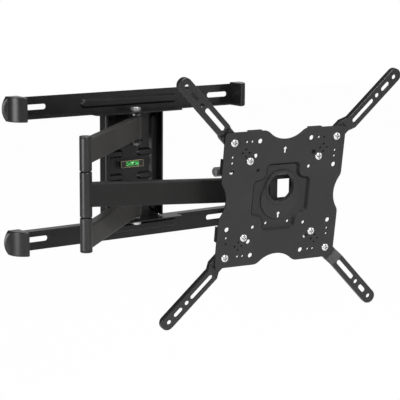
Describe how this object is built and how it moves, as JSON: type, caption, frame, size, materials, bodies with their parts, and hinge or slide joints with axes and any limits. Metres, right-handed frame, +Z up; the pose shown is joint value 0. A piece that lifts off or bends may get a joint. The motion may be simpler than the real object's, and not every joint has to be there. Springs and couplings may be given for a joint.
{
  "type": "full motion tv wall mount",
  "caption": "Full-motion wall mount: capped slotted rails, a folding arm with paired rear tubes on vertical pivots, and a tilting, turning screen plate with diagonal extension arms.",
  "frame": {"origin": "centre of the wall slots' rectangle, on the wall plane", "axes": "+X right along the wall for a viewer who faces it, +Y into the wall, +Z up; the wall plane is Y = 0 and the mount stands out towards -Y"},
  "size_m": [0.536, 0.4752, 0.4252],
  "materials": {
    "bracket_paint": "black satin powder coat",
    "arm_paint": "charcoal satin powder coat",
    "head_paint": "black satin powder coat",
    "plate_paint": "charcoal fine matt powder coat",
    "strap_paint": "black satin powder coat",
    "cap_plastic": "satin moulded",
    "knob_plastic": "satin moulded",
    "bush_nylon": "plain moulded",
    "level_body": "plain moulded",
    "level_vial": "clear tinted",
    "bright_steel": "bright plated",
    "pin_steel": "turned"
  },
  "bodies": {
    "wall_plate": {"upper_rail": "bracket_paint", "lower_rail": "bracket_paint", "upper_left_cap": "cap_plastic", "upper_right_cap": "cap_plastic", "lower_left_cap": "cap_plastic", "lower_right_cap": "cap_plastic", "centre_plate": "bracket_paint", "level_housing": "level_body", "level_vial": "level_vial", "upper_clevis": "bracket_paint", "lower_clevis": "bracket_paint", "pivot_bolts": "bright_steel", "pivot_nuts": "bright_steel", "pivot_washers": "bright_steel"},
    "rear_arm": {"pivot_bushes": "bush_nylon", "upper_pivot_barrel": "arm_paint", "lower_pivot_barrel": "arm_paint", "upper_rear_tube": "arm_paint", "lower_rear_tube": "arm_paint", "upper_elbow_knuckle": "arm_paint", "lower_elbow_knuckle": "arm_paint", "elbow_pin": "pin_steel", "elbow_washers": "pin_steel", "elbow_caps": "arm_paint"},
    "forearm": {"forearm_knuckle": "arm_paint", "forearm_tube": "arm_paint", "head_barrel": "arm_paint", "head_bushes": "bush_nylon"},
    "head": {"head_yoke": "head_paint", "swivel_bolt": "bright_steel", "swivel_nut": "bright_steel"},
    "tilt_frame": {"tilt_bracket": "head_paint", "tilt_axle": "bright_steel", "tilt_knob": "knob_plastic", "tilt_nuts": "bright_steel", "hub_disc": "head_paint"},
    "screen_plate": {"vesa_plate": "plate_paint", "arm_upper_left": "strap_paint", "arm_upper_right": "strap_paint", "arm_lower_left": "strap_paint", "arm_lower_right": "strap_paint", "arm_screws": "bright_steel", "arm_nuts": "bright_steel"}
  },
  "joints": [
    {"name": "wall_pivot", "type": "hinge", "parent": "wall_plate", "child": "rear_arm", "pos_m": [0, -0.024, 0], "axis": [0, 0, 1], "range_deg": [-33, 55]},
    {"name": "elbow", "type": "hinge", "parent": "rear_arm", "child": "forearm", "pos_m": [-0.23817, -0.23871, 0], "axis": [0, 0, -1], "range_deg": [-45, 110]},
    {"name": "head_swivel", "type": "hinge", "parent": "forearm", "child": "head", "pos_m": [0.04472, -0.36054, 0], "axis": [0, 0, 1], "range_deg": [-24, 80]},
    {"name": "tilt", "type": "hinge", "parent": "head", "child": "tilt_frame", "pos_m": [0.04125, -0.39003, 0.0421], "axis": [0.9932, -0.1167, 0], "range_deg": [-13, 6]},
    {"name": "level_turn", "type": "hinge", "parent": "tilt_frame", "child": "screen_plate", "pos_m": [0.03825, -0.4156, 0.01076], "axis": [-0.1154, -0.9828, -0.1444], "range_deg": [-5, 5]}
  ]
}
